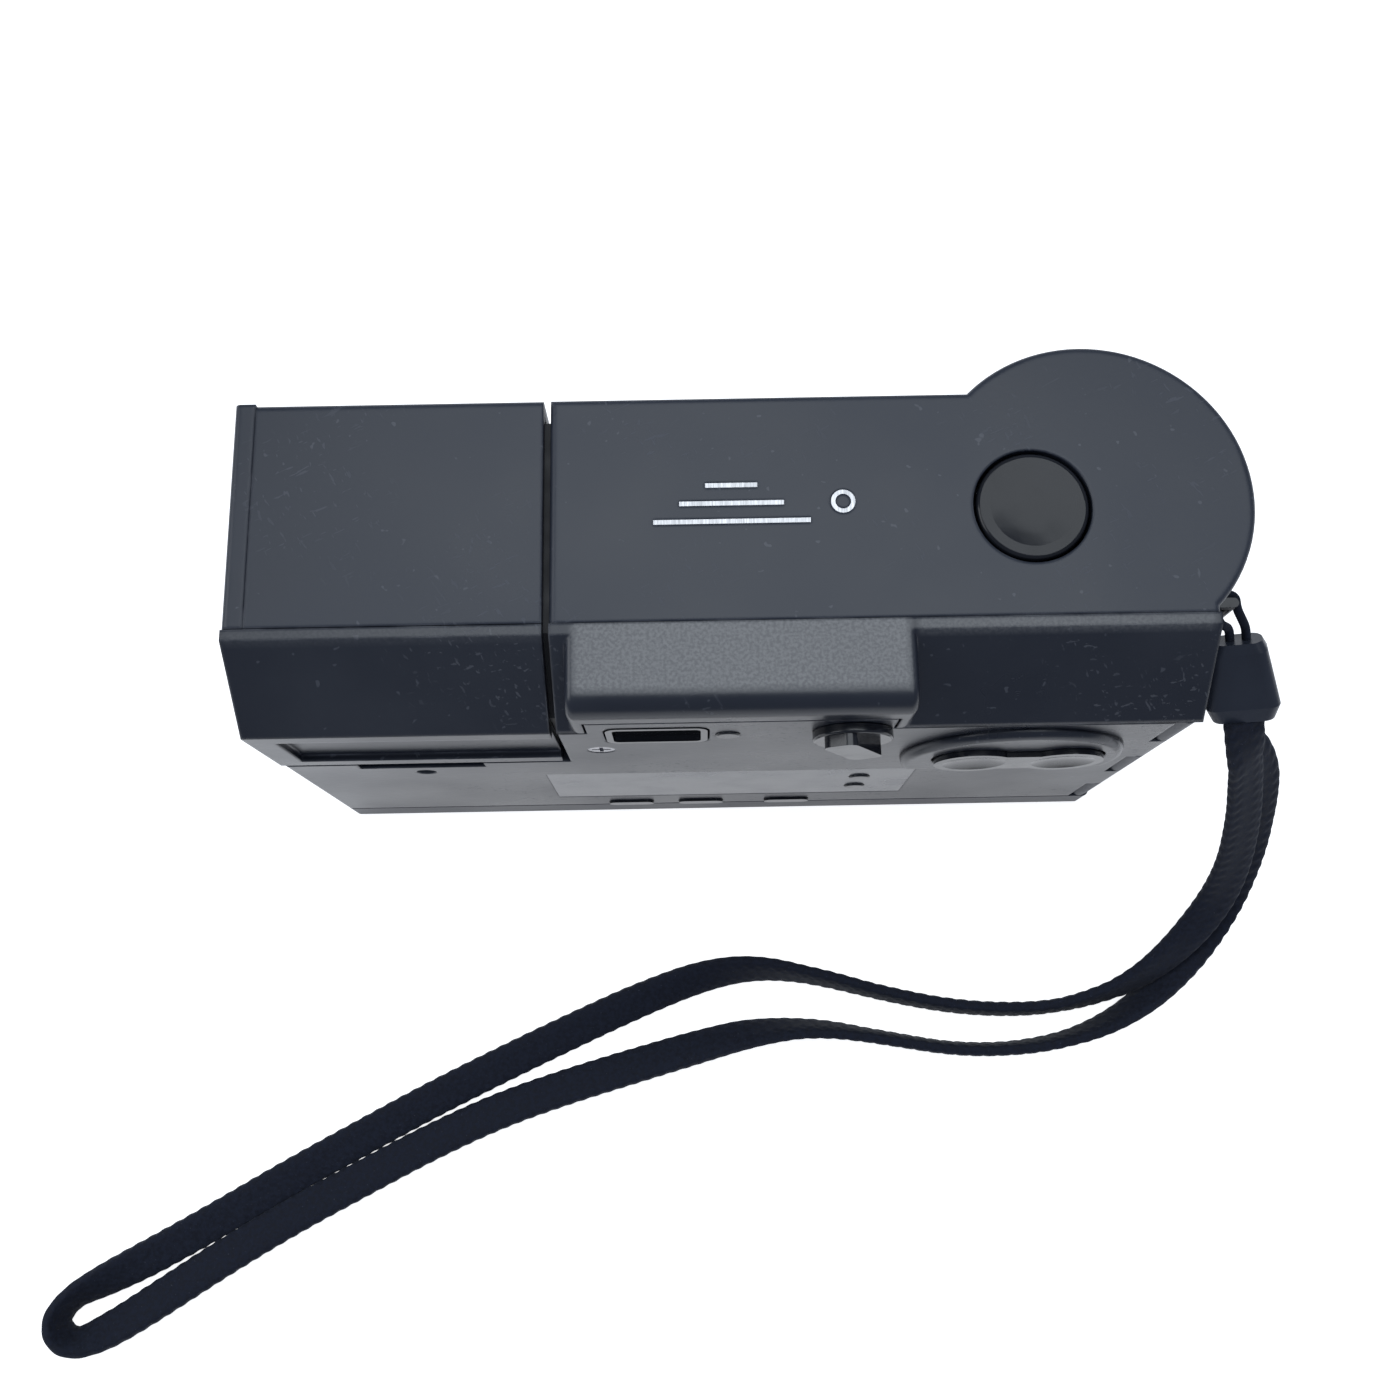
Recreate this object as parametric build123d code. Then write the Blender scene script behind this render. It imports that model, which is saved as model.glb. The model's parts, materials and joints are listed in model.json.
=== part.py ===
from build123d import *
import math
import os

# Compact 35 mm zoom camera. Millimetres, +Z up, +Y towards the lens side, +X towards the grip.
# Origin: the mouth of the tripod socket, on the base, in the middle of the main box.

# ---- driving sizes: shells ----
BODY_W, BODY_D, BODY_H = 112.6, 38.0, 65.0
GRIP_R, GRIP_SIDE_OUT, GRIP_FRONT_OUT = 18.9, 5.4, 5.6
RIB_COUNT, RIB_R, RIB_FIRST, RIB_STEP, RIB_LOW, RIB_DROP = 7, 0.45, 66.0, 8.0, 12.0, 11.0
WALL, TOP_T, BASE_T, SKIN_T = 1.6, 1.8, 3.0, 1.2
EDGE_R, TOP_EDGE_R = 0.8, 0.8
SEAM, CLEAR, FIT, PRESS = 0.3, 0.3, 0.05, 0.02
CUT = 1.0  # how far a cutting tool passes the face it cuts

BEVEL = 9.3
TOP_SEAM_Y = 10.7
SLIDER_W, SLIDER_H, SLIDER_GAP, END_CAP_T = 36.1, 25.7, 0.8, 2.5
SLIDER_EDGE_R, SLIDER_CAP_R = 0.9, 0.8
SLIDER_RECESS_LOW, SLIDER_RECESS_H, SLIDER_RECESS_T, SLIDER_RECESS_IN = 2.4, 11.0, 0.9, 3.3
BUMP_INSET, BUMP_RIGHT, BUMP_EDGE_R, BUMP_SIDE_R = 1.7, 22.0, 2.5, 1.0
INLAY_X, INLAY_Y, INLAY_W, INLAY_TAPER = 1.5, 3.2, 18.0, 3.0
INLAY_STROKE, INLAY_PITCH, INLAY_DEPTH = 0.55, 2.2, 0.3
INLAY_RING_X, INLAY_RING_R, INLAY_RING_HOLE = 14.3, 1.4, 0.9

# ---- driving sizes: film door ----
DOOR_T, DOOR_LOW, TONGUE_DROP = 1.8, 5.7, 4.8
HINGE_R, KNUCKLE_R, KNUCKLE_COUNT, KNUCKLE_GAP = 0.7, 1.4, 5, 0.2
THUMB_IN, THUMB_W, THUMB_H, THUMB_T = 9.5, 16.3, 2.6, 1.0
DOT_IN, DOT_DROP, DOT_R, DOT_T = 17.5, 5.6, 1.35, 0.5
LATCH_IN, LATCH_LOW, LATCH_H, LATCH_W, LATCH_T, LATCH_TRAVEL, LATCH_STAND = 7.0, 12.0, 8.0, 2.6, 1.1, 4.0, 0.2

# ---- driving sizes: controls on the back and top ----
EYE_IN, EYE_DROP, EYE_W, EYE_H, EYE_RIM, EYE_CORNER_R = 10.0, 11.15, 12.0, 7.7, 0.8, 1.5
LAMP_IN, LAMP_DROP, LAMP_R, LAMP_STAND = 8.4, 11.3, 1.45, 0.25
DOOR_SCREW_IN, DOOR_SCREW_DROP, DOOR_SCREW_HEAD_R, DOOR_SCREW_R = 2.9, 19.0, 1.65, 0.78
KNOB_IN, KNOB_DROP, KNOB_R, KNOB_T, KNOB_BAR_W, KNOB_BAR_T, KNOB_LEAN = 6.6, 10.6, 4.75, 1.2, 4.2, 1.3, -30
KNOB_SHAFT_R, KNOB_CLIP_R = 1.5, 2.4
ROCKER_IN, ROCKER_DROP, ROCKER_SPAN, PAD_R, BRIDGE_H, BRIDGE_W = 18.9, 22.5, 11.2, 5.0, 7.2, 6.0
ROCKER_STAND, PAD_DISH_R, PAD_DISH_T, ROCKER_PIN_R = 0.7, 16.0, 0.5, 0.5
POD_SHIFT_X, POD_SHIFT_Z, POD_R, POD_T, POD_LIP = -0.4, -2.5, 14.0, 1.2, 1.5
PANEL_X, PANEL_Z, PANEL_W, PANEL_H, PANEL_T = 1.55, 21.3, 49.9, 17.8, 0.9
LCD_X, LCD_W, LCD_H, LCD_T = -3.2, 30.8, 15.8, 1.7
ROUND_BUTTON_X, ROUND_BUTTON_ZS, ROUND_BUTTON_R, ROUND_BUTTON_STAND = 19.4, (24.7, 17.8), 1.4, 0.25
OVAL_XS, OVAL_Z, OVAL_W, OVAL_H, OVAL_STAND = (-13.0, -2.6, 10.2), 7.5, 6.6, 2.2, 0.35
BUTTON_IN_X, BUTTON_IN_Y, BUTTON_R, BUTTON_GAP, BUTTON_STAND, BUTTON_DISH_R = 6.8, 1.0, 6.5, 0.35, 0.1, 40.0
BUTTON_CAP_H, STEM_R, STEM_H, BUTTON_EDGE_R = 4.0, 1.5, 2.4, 0.6
SPRING_R, SPRING_WIRE_R, SPRING_H, SPRING_PITCH, SPRING_DROP = 2.3, 0.2, 3.9, 1.0, 6.3
SEAT_DROP, SEAT_PEG_R, SEAT_PEG_H = 6.6, 1.2, 0.7

# ---- driving sizes: lens, viewfinder and flash ----
LENS_X, BARREL_R, BARREL_WALL, BARREL_STAND, HOUSING_T = -2.5, 14.0, 1.0, 1.2, 1.4
LENS_RIM, FRONT_RIM, FRONT_RING_T, GLASS_CURVE_R = 2.2, 1.2, 1.0, 30.0
FRONT_LENS_IN, FRONT_LENS_OUT, REAR_LENS_IN, REAR_LENS_T, BARREL_IN = 3.0, 0.6, 14.0, 4.0, 5.0
FINDER_H, FINDER_WALL, AF_GAP, AF_W = 9.0, 1.0, 4.0, 16.0
GATE_IN, GATE_T, GATE_W, GATE_H, GATE_DROP, SILL_HALF, SILL_FRONT = 10.0, 2.0, 36.0, 24.0, 5.6, 10.0, 12.0
FLASH_IN, FLASH_W, FLASH_H, FLASH_DROP = 5.3, 18.0, 13.0, 6.0
FLASH_DEPTH, FLASH_BOWL_R, FLASH_BOWL_OUT, FLASH_TUBE_R, FLASH_CHEEK = 4.8, 5.4, 1.6, 0.8, 1.2
PLATE_W, PLATE_H, PLATE_T = 40.0, 30.0, 0.95
LEAF_W, LEAF_H, LEAF_T, LEAF_DROPS = 24.0, 3.0, 0.3, (7.0, 13.0)

# ---- driving sizes: film, power, drive and fasteners ----
CASSETTE_R, CASSETTE_H, CASSETTE_IN, CHAMBER_WALL, CHAMBER_GAP, FLOOR_T = 12.5, 43.0, 17.5, 1.7, 0.4, 2.0
CASSETTE_LIFT, CASSETTE_BEHIND, CASSETTE_HUB_R, LIP_IN, LIP_T = 2.8, 1.2, 4.0, 0.5, 3.0
CHAMBER_LEFT_GAP, CHAMBER_RIGHT_GAP = 1.5, 2.2
CHAMBER_SLOT_IN, CHAMBER_SLOT_DEPTH, SPOOL_SLOT_HALF = 4.5, 8.9, 6.0
SPOOL_LIFT, FORK_R, FORK_BLADE, FORK_BLADE_T, FORK_DEPTH, FORK_GAP = 2.3, 2.3, 6.0, 1.6, 3.5, 0.2
SPOOL_R, SPOOL_H, SPOOL_IN, SPOOL_GAP, SPOOL_FLANGE = 8.0, 40.0, 11.3, 1.0, 1.2
BATTERY_R, BATTERY_H, BATTERY_IN_X, BATTERY_GAP, BATTERY_SIDE_GAP = 8.4, 33.0, 1.2, 1.4, 0.5
BATTERY_TIP_R, BATTERY_TIP_H, CAP_LIP, CAP_LOW = 3.0, 1.2, 1.0, 0.2
COIN_SLOT_L, COIN_SLOT_W, COIN_SLOT_T = 11.0, 1.6, 1.3
MOTOR_R, MOTOR_L, MOTOR_Z, MOTOR_GAP, MOTOR_SHAFT_R, MOTOR_SHAFT_L = 5.0, 10.2, 12.0, 4.8, 0.8, 2.5
BOARD_X, BOARD_W, BOARD_Y, BOARD_D, BOARD_T = 4.0, 32.0, 6.0, 20.0, 1.2
CAPACITOR_R, CAPACITOR_H = 2.95, 26.7
TRIPOD_R, TRIPOD_DEPTH, BUSH_WALL, BUSH_FLANGE, BUSH_TOP = 3.3, 5.5, 2.2, 3.4, 7.0
SCREW_HEAD_R, SCREW_R, SCREW_LOW, SCREW_HEAD_T = 1.8, 0.9, 0.2, 1.0
CROSS_L, CROSS_W, CROSS_T = 2.3, 0.46, 0.5
LUG_IN, LUG_OUT, LUG_R, LUG_DROP, LUG_H, LUG_ARM_T = 14.5, 2.3, 0.6, 14.0, 5.0, 1.0
STRAP_TUBE_R, LOOP_TUBE_R = 1.5, 0.55

# ---- derived places ----
HALF_W, HALF_D = BODY_W / 2, BODY_D / 2
BACK, FRONT = -HALF_D, HALF_D
GRIP_X, GRIP_Y = HALF_W + GRIP_SIDE_OUT - GRIP_R, FRONT + GRIP_FRONT_OUT - GRIP_R
GRIP_LEFT = GRIP_X - math.sqrt(GRIP_R**2 - (FRONT - GRIP_Y) ** 2) - SEAM
SEAM_Y = BACK + TOP_SEAM_Y
LID_Z = BODY_H - TOP_T
BEVEL_Z = BODY_H - BEVEL
SHELF_H = BODY_H - SLIDER_H
SLIDER_RIGHT = -HALF_W + SLIDER_W
SLIDER_BOTTOM = SHELF_H + SEAM
BLOCK_LEFT = SLIDER_RIGHT + SLIDER_GAP
BUMP_LEFT = BLOCK_LEFT + BUMP_INSET
TONGUE_TOP = BODY_H - TONGUE_DROP
TONGUE_LEFT, TONGUE_RIGHT = BUMP_LEFT + WALL + SEAM, BUMP_RIGHT - WALL - SEAM
DOOR_IN = BACK + DOOR_T
INSIDE_Y = DOOR_IN + CLEAR
HINGE_X, HINGE_Y = HALF_W - KNUCKLE_R, BACK + KNUCKLE_R
DOOR_RIGHT = HINGE_X - KNUCKLE_R - CLEAR
SIDE_REAR = HINGE_Y + KNUCKLE_R + CLEAR
HINGE_HIGH = BEVEL_Z - SEAM
KNUCKLE_STEP = (HINGE_HIGH - DOOR_LOW) / KNUCKLE_COUNT
LATCH_Y = BACK + LATCH_IN
GATE_Y = BACK + GATE_IN

EYE_X, EYE_Z = BUMP_LEFT + EYE_IN, BODY_H - EYE_DROP
LAMP_X, LAMP_Z = EYE_X + LAMP_IN, BODY_H - LAMP_DROP
DOOR_SCREW_X, DOOR_SCREW_Z = BUMP_LEFT + DOOR_SCREW_IN, BODY_H - DOOR_SCREW_DROP
KNOB_X, KNOB_Z = BUMP_RIGHT - KNOB_IN, BODY_H - KNOB_DROP
ROCKER_X, ROCKER_Z = HALF_W - ROCKER_IN, BODY_H - ROCKER_DROP
ROCKER_PADS = (ROCKER_X - ROCKER_SPAN / 2, ROCKER_X + ROCKER_SPAN / 2)
POD_X, POD_Z = ROCKER_X + POD_SHIFT_X, ROCKER_Z + POD_SHIFT_Z
BUTTON_X, BUTTON_Y = GRIP_X - BUTTON_IN_X, GRIP_Y - BUTTON_IN_Y

FINDER_X0, FINDER_X1 = EYE_X - EYE_W / 2 - CLEAR, EYE_X + EYE_W / 2 + CLEAR
FINDER_Z0, FINDER_Z1 = EYE_Z - FINDER_H / 2, EYE_Z + FINDER_H / 2
AF_X0, AF_X1 = FINDER_X1 + AF_GAP, FINDER_X1 + AF_GAP + AF_W
FLASH_X0, FLASH_X1 = -HALF_W + FLASH_IN, -HALF_W + FLASH_IN + FLASH_W
FLASH_Z0, FLASH_Z1 = BODY_H - FLASH_DROP - FLASH_H, BODY_H - FLASH_DROP
FLASH_BACK, FLASH_Z = FRONT - TOP_T - FLASH_DEPTH, (FLASH_Z0 + FLASH_Z1) / 2

CHAMBER_TOP = BEVEL_Z - WALL
CHAMBER_FLOOR = BASE_T + FLOOR_T
CASSETTE_LOW = BASE_T + CASSETTE_LIFT
CASSETTE_TOP = CASSETTE_LOW + CASSETTE_H
CASSETTE_X, CASSETTE_Y = -HALF_W + CASSETTE_IN, INSIDE_Y + CASSETTE_R + CASSETTE_BEHIND
CASSETTE_SIDE, CASSETTE_FRONT = CASSETTE_X + CASSETTE_R + CHAMBER_WALL, CASSETTE_Y + CASSETTE_R + CHAMBER_WALL
LENS_Z = CASSETTE_LOW + CASSETTE_H / 2
BORE_R = BARREL_R + CLEAR
HOUSING_HALF = BORE_R + HOUSING_T
INNER_R = BARREL_R - BARREL_WALL - CLEAR
LENS_R = INNER_R - LENS_RIM
BATTERY_X, BATTERY_Y = GRIP_X + BATTERY_IN_X, GRIP_Y + GRIP_R - WALL - BATTERY_GAP - BATTERY_R
SPOOL_X, SPOOL_Y = GRIP_X - SPOOL_IN, INSIDE_Y + SPOOL_R + SPOOL_GAP
SPOOL_SIDE = SPOOL_X - SPOOL_R - SPOOL_GAP - FLOOR_T
SPOOL_FRONT = BATTERY_Y - BATTERY_R - BATTERY_SIDE_GAP - 0.8
MOTOR_X = LENS_X + HOUSING_HALF + MOTOR_GAP + MOTOR_R
SCREW_XS = (-HALF_W + 6.3, SPOOL_SIDE + 2.5)
SCREWS = [(SCREW_XS[0], BACK + 5.5), (SCREW_XS[0], CASSETTE_FRONT - 2.5),
          (SCREW_XS[1], BACK + 4.5), (SCREW_XS[1], SPOOL_FRONT - 2)]
LUG_Y = BACK + LUG_IN
GRIP_AT_LUG = math.sqrt(max(GRIP_R**2 - (LUG_Y + LUG_R - GRIP_Y) ** 2, 0.0))
LUG_ROOT = max(HALF_W, GRIP_X + GRIP_AT_LUG)
LUG_X, LUG_Z0, LUG_Z1 = LUG_ROOT + LUG_OUT, BODY_H - LUG_DROP, BODY_H - LUG_DROP + LUG_H

os.makedirs("parts", exist_ok=True)


def save(node, shape):
    export_step(shape, f"parts/{node}.step")


def block(x0, x1, y0, y1, z0, z1):
    return Pos((x0 + x1) / 2, (y0 + y1) / 2, (z0 + z1) / 2) * Box(x1 - x0, y1 - y0, z1 - z0)


def centred(x, half_x, y0, y1, z, half_z):
    return block(x - half_x, x + half_x, y0, y1, z - half_z, z + half_z)


def rod_x(y, z, r, x0, x1):
    return Pos((x0 + x1) / 2, y, z) * Rot(0, 90, 0) * Cylinder(r, x1 - x0)


def rod_y(x, z, r, y0, y1):
    return Pos(x, (y0 + y1) / 2, z) * Rot(90, 0, 0) * Cylinder(r, y1 - y0)


def rod_z(x, y, r, z0, z1):
    return Pos(x, y, (z0 + z1) / 2) * Cylinder(r, z1 - z0)


def slot_y(x, z, width, height, y0, y1):
    """A bar across X with round ends, run along Y."""
    reach = (width - height) / 2
    core = centred(x, reach, y0, y1, z, height / 2)
    return core + rod_y(x - reach, z, height / 2, y0, y1) + rod_y(x + reach, z, height / 2, y0, y1)


def rounded_y(x, z, width, height, corner, y0, y1):
    """A rounded rectangle in the XZ plane, run along Y."""
    return Pos(x, y1, z) * Rot(90, 0, 0) * extrude(RectangleRounded(width, height, corner), y1 - y0)


def plan(inset=0.0):
    """The body's outline in plan: the main box with the round grip standing out of its corner."""
    box = RectangleRounded(BODY_W - 2 * inset, BODY_D - 2 * inset, EDGE_R)
    return box + Pos(GRIP_X, GRIP_Y) * Circle(GRIP_R - inset)


def plan_solid(inset, z0, z1):
    return Pos(0, 0, z0) * extrude(plan(inset), z1 - z0)


def ring(z0, z1):
    return plan_solid(0, z0, z1) - plan_solid(WALL, z0 - CUT, z1 + CUT)


def upper_profile(inset, x0, x1, z0):
    """The upper body's section across Y, with the sloping rear edge, run along X."""
    slope = inset * math.tan(math.pi / 8)
    points = [
        (FRONT - inset, z0),
        (FRONT - inset, BODY_H - inset),
        (BACK + BEVEL + slope, BODY_H - inset),
        (BACK + inset, BEVEL_Z - slope),
        (BACK + inset, z0),
    ]
    face = make_face(Polyline(*[(x0, y, z) for y, z in points], close=True))
    return extrude(face, x1 - x0, dir=(1, 0, 0))


def round_tube(points, radius):
    """A round tube along straight runs joined by arcs that touch them."""
    radii = []
    for a, b, c in zip(points, points[1:], points[2:]):
        turn = math.radians((b - a).get_angle(c - b))
        radii.append(0.45 * min((b - a).length, (c - b).length) / math.tan(turn / 2))
    path = FilletPolyline(*points, radius=radii)
    return sweep(Plane(origin=path @ 0, z_dir=path % 0) * Circle(radius), path=path)


# ---- base ----
def base_plate():
    plate = plan_solid(0, 0, BASE_T)
    lip = plan_solid(0, BASE_T / 2, DOOR_LOW - SEAM)
    plate += lip & block(-HALF_W - CUT, HALF_W + CUT, BACK - CUT, DOOR_IN, 0, DOOR_LOW)
    plate -= rod_z(0, 0, TRIPOD_R + BUSH_WALL + PRESS, -CUT, BASE_T + CUT)
    plate -= rod_z(BATTERY_X, BATTERY_Y, BATTERY_R + CAP_LIP + CLEAR, -CUT, BASE_T + CUT)
    for x, y in SCREWS:
        plate -= rod_z(x, y, SCREW_HEAD_R + FIT, -CUT, SCREW_LOW + SCREW_HEAD_T)
        plate -= rod_z(x, y, SCREW_R + FIT, 0, BASE_T + CUT)
    return plate


def tripod_bush():
    bush = rod_z(0, 0, TRIPOD_R + BUSH_WALL, 0, BASE_T + CLEAR)
    bush += rod_z(0, 0, TRIPOD_R + BUSH_FLANGE, BASE_T + CLEAR, BUSH_TOP)
    return bush - rod_z(0, 0, TRIPOD_R, -CUT, TRIPOD_DEPTH)


def base_screw(x, y):
    neck = SCREW_LOW + SCREW_HEAD_T
    head = rod_z(x, y, SCREW_HEAD_R, SCREW_LOW, neck)
    for half_x, half_y in ((CROSS_L / 2, CROSS_W / 2), (CROSS_W / 2, CROSS_L / 2)):
        head -= block(x - half_x, x + half_x, y - half_y, y + half_y, 0, SCREW_LOW + CROSS_T)
    return head + rod_z(x, y, SCREW_R, neck, CHAMBER_FLOOR - CLEAR)


def battery_cap():
    cap = rod_z(BATTERY_X, BATTERY_Y, BATTERY_R + CAP_LIP, CAP_LOW, BASE_T)
    half_l, half_w = COIN_SLOT_L / 2, COIN_SLOT_W / 2
    return cap - block(BATTERY_X - half_l, BATTERY_X + half_l, BATTERY_Y - half_w, BATTERY_Y + half_w,
                       0, COIN_SLOT_T)


# ---- fixed shells ----
def knuckles(which, gap):
    """The (low, high) heights of every second hinge knuckle."""
    steps = range(which, KNUCKLE_COUNT, 2)
    return [(DOOR_LOW + i * KNUCKLE_STEP + gap, DOOR_LOW + (i + 1) * KNUCKLE_STEP - gap) for i in steps]


def grip_cover():
    shell = ring(BASE_T, LID_Z) & block(GRIP_LEFT, HALF_W + GRIP_R, SIDE_REAR, FRONT + GRIP_R, 0, BODY_H)
    shell -= block(GRIP_X, HALF_W + CUT, BACK - CUT, SEAM_Y, BEVEL_Z - SEAM, BODY_H)
    for z0, z1 in knuckles(0, 0):
        web = block(HINGE_X, HALF_W, HINGE_Y, SIDE_REAR, z0, z1)
        shell += web + rod_z(HINGE_X, HINGE_Y, KNUCKLE_R, z0, z1)
    shell -= rod_z(HINGE_X, HINGE_Y, HINGE_R + FIT, 0, BODY_H)
    for i in range(RIB_COUNT):
        angle = math.radians(RIB_FIRST + RIB_STEP * i)
        x, y = GRIP_X + GRIP_R * math.cos(angle), GRIP_Y + GRIP_R * math.sin(angle)
        shell -= rod_z(x, y, RIB_R, RIB_LOW, BODY_H - RIB_DROP)
    return shell


def front_cover():
    shell = ring(BASE_T, LID_Z) & block(-HALF_W - CUT, GRIP_LEFT, INSIDE_Y, FRONT + CUT, 0, BODY_H)
    shell -= block(-HALF_W - CUT, BLOCK_LEFT, BACK, FRONT + CUT, SHELF_H, BODY_H)
    shell -= rod_y(LENS_X, LENS_Z, BORE_R, 0, FRONT + CUT)
    for x0, x1 in ((FINDER_X0, FINDER_X1), (AF_X0, AF_X1)):
        shell -= block(x0, x1, 0, FRONT + CUT, FINDER_Z0 + FINDER_WALL, FINDER_Z1 - FINDER_WALL)
    latch_gap = LATCH_W / 2 + CLEAR
    return shell - block(-HALF_W - CUT, -HALF_W + WALL + CUT, LATCH_Y - latch_gap, LATCH_Y + latch_gap,
                         LATCH_LOW - CUT, LATCH_LOW + LATCH_H + LATCH_TRAVEL + CUT)


def front_pane(x0, x1):
    return block(x0 + FIT, x1 - FIT, FRONT - WALL, FRONT - CLEAR,
                 FINDER_Z0 + FINDER_WALL + FIT, FINDER_Z1 - FINDER_WALL - FIT)


def top_cover():
    far = FRONT + GRIP_R
    plate = plan_solid(0, LID_Z, BODY_H) & block(BLOCK_LEFT, HALF_W + GRIP_R, SEAM_Y, far, 0, BODY_H + CUT)
    top_edges = plate.faces().sort_by(Axis.Z)[-1].edges().filter_by_position(Axis.Y, SEAM_Y + SEAM, far)
    plate = fillet(top_edges, TOP_EDGE_R)
    plate -= rod_z(BUTTON_X, BUTTON_Y, BUTTON_R + BUTTON_GAP, 0, BODY_H + CUT)
    for piece in inlay(BODY_H + CUT):
        plate -= piece
    return plate


def inlay(high):
    """Three plain rules and a small ring, let into the top cover."""
    low = BODY_H - INLAY_DEPTH
    pieces = []
    for i in range(3):
        half, y = INLAY_W / 2 - INLAY_TAPER * i, INLAY_Y + INLAY_PITCH * i
        pieces.append(block(INLAY_X - half, INLAY_X + half, y, y + INLAY_STROKE, low, high))
    y = INLAY_Y + INLAY_PITCH + INLAY_STROKE / 2
    ring_shape = Circle(INLAY_RING_R) - Circle(INLAY_RING_HOLE)
    return pieces + [Pos(INLAY_RING_X, y, low) * extrude(ring_shape, high - low)]


def rear_upper_cover():
    """The sloping rear edge with the viewfinder's bump standing out of it."""
    bump = block(BUMP_LEFT, BUMP_RIGHT, BACK, 0, BEVEL_Z - CUT, BODY_H)
    rear_top = bump.edges().filter_by(Axis.X).sort_by(lambda e: e.center().Z - e.center().Y)[-1]
    bump = fillet(rear_top, BUMP_EDGE_R)
    sides = [f for f in bump.faces().filter_by(Axis.X)]
    rims = [e for f in sides for e in f.edges() if e.center().Z > BEVEL_Z - CUT + FIT and e.center().Y < -FIT]
    bump = fillet(rims, BUMP_SIDE_R)
    shell = upper_profile(0, BLOCK_LEFT, HALF_W, BEVEL_Z - CUT) + bump
    shell -= upper_profile(WALL, BLOCK_LEFT - CUT, HALF_W - WALL, BEVEL_Z - 2 * CUT)
    inner = (BUMP_LEFT + WALL, BUMP_RIGHT - WALL)
    shell -= block(*inner, BACK + WALL, 0, BEVEL_Z - 2 * CUT, BODY_H - WALL)
    shell -= block(*inner, BACK - CUT, 0, BEVEL_Z - 2 * CUT, TONGUE_TOP + SEAM)
    return shell & block(BLOCK_LEFT, HALF_W, BACK - CUT, SEAM_Y - FIT, BEVEL_Z, BODY_H + CUT)


# ---- inside ----
def chassis():
    """Film chamber, spool chamber and film gate in one moulding, with a floor over the tripod bush."""
    outer_left, outer_right = -HALF_W + WALL + CHAMBER_LEFT_GAP, HALF_W - WALL - CHAMBER_RIGHT_GAP
    roof = CHAMBER_TOP - FLOOR_T
    left = block(outer_left, CASSETTE_SIDE, INSIDE_Y, CASSETTE_FRONT, BASE_T, CHAMBER_TOP)
    left -= rod_z(CASSETTE_X, CASSETTE_Y, CASSETTE_R + CHAMBER_GAP, CHAMBER_FLOOR, roof)
    slot_left, slot_front = CASSETTE_X - CASSETTE_R + CHAMBER_SLOT_IN, CASSETTE_Y - CHAMBER_SLOT_DEPTH
    left -= block(slot_left, CASSETTE_SIDE + CUT, BACK, slot_front, CHAMBER_FLOOR, SHELF_H)
    left -= rod_z(CASSETTE_X, CASSETTE_Y, FORK_R + FORK_GAP, roof - CUT, CHAMBER_TOP + CUT)
    right = block(SPOOL_SIDE, outer_right, INSIDE_Y, SPOOL_FRONT, BASE_T, CHAMBER_TOP)
    right -= rod_z(SPOOL_X, SPOOL_Y, SPOOL_R + SPOOL_GAP, CHAMBER_FLOOR, roof)
    half = SPOOL_SLOT_HALF
    right -= block(SPOOL_X - half, SPOOL_X + half, BACK, INSIDE_Y + half, CHAMBER_FLOOR, roof)
    right -= rod_z(BATTERY_X, BATTERY_Y, BATTERY_R + BATTERY_SIDE_GAP, 0, BODY_H)
    gate = block(CASSETTE_SIDE, SPOOL_SIDE, GATE_Y, GATE_Y + GATE_T, BASE_T, CHAMBER_TOP - GATE_DROP)
    gate -= centred(LENS_X, GATE_W / 2, GATE_Y - CUT, GATE_Y + GATE_T + CUT, LENS_Z, GATE_H / 2)
    floor_top = min(BUSH_TOP + FLOOR_T, LENS_Z - HOUSING_HALF - CLEAR)
    floor = block(-SILL_HALF, SILL_HALF, GATE_Y + GATE_T, SILL_FRONT, BUSH_TOP, floor_top)
    frame = left + right + gate + floor
    for x, y in SCREWS:
        frame -= rod_z(x, y, SCREW_R + FIT, 0, CHAMBER_FLOOR + CUT)
    return frame


def lens_housing():
    rear = GATE_Y + GATE_T
    body = centred(LENS_X, HOUSING_HALF, rear, FRONT - WALL, LENS_Z, HOUSING_HALF)
    body -= rod_y(LENS_X, LENS_Z, BORE_R, rear + HOUSING_T, FRONT)
    body -= block(-HALF_W, BLOCK_LEFT, FRONT - TOP_T - CLEAR, FRONT, SHELF_H, BODY_H)
    return body - centred(LENS_X, GATE_W / 3, rear - CUT, rear + HOUSING_T + CUT, LENS_Z, GATE_H / 3)


def lens_tube(r_out, r_in, y0, y1):
    return rod_y(LENS_X, LENS_Z, r_out, y0, y1) - rod_y(LENS_X, LENS_Z, r_in, y0 - CUT, y1 + CUT)


def barrel_outer():
    return lens_tube(BARREL_R, BARREL_R - BARREL_WALL, GATE_Y + BARREL_IN, FRONT + BARREL_STAND)


def barrel_inner():
    return lens_tube(INNER_R, LENS_R, GATE_Y + BARREL_IN, FRONT + BARREL_STAND + CLEAR)


def front_ring():
    rear = FRONT + BARREL_STAND + CLEAR
    return lens_tube(INNER_R, LENS_R - FRONT_RIM, rear, rear + FRONT_RING_T)


def lens_element(y0, y1):
    disc = rod_y(LENS_X, LENS_Z, LENS_R, y0, y1)
    return disc & (Pos(LENS_X, y1 - GLASS_CURVE_R, LENS_Z) * Sphere(GLASS_CURVE_R))


def viewfinder_tube():
    outer = block(FINDER_X0, FINDER_X1, INSIDE_Y, FRONT - WALL, FINDER_Z0, FINDER_Z1)
    return outer - block(FINDER_X0 + FINDER_WALL, FINDER_X1 - FINDER_WALL, BACK, FRONT,
                         FINDER_Z0 + FINDER_WALL, FINDER_Z1 - FINDER_WALL)


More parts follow.
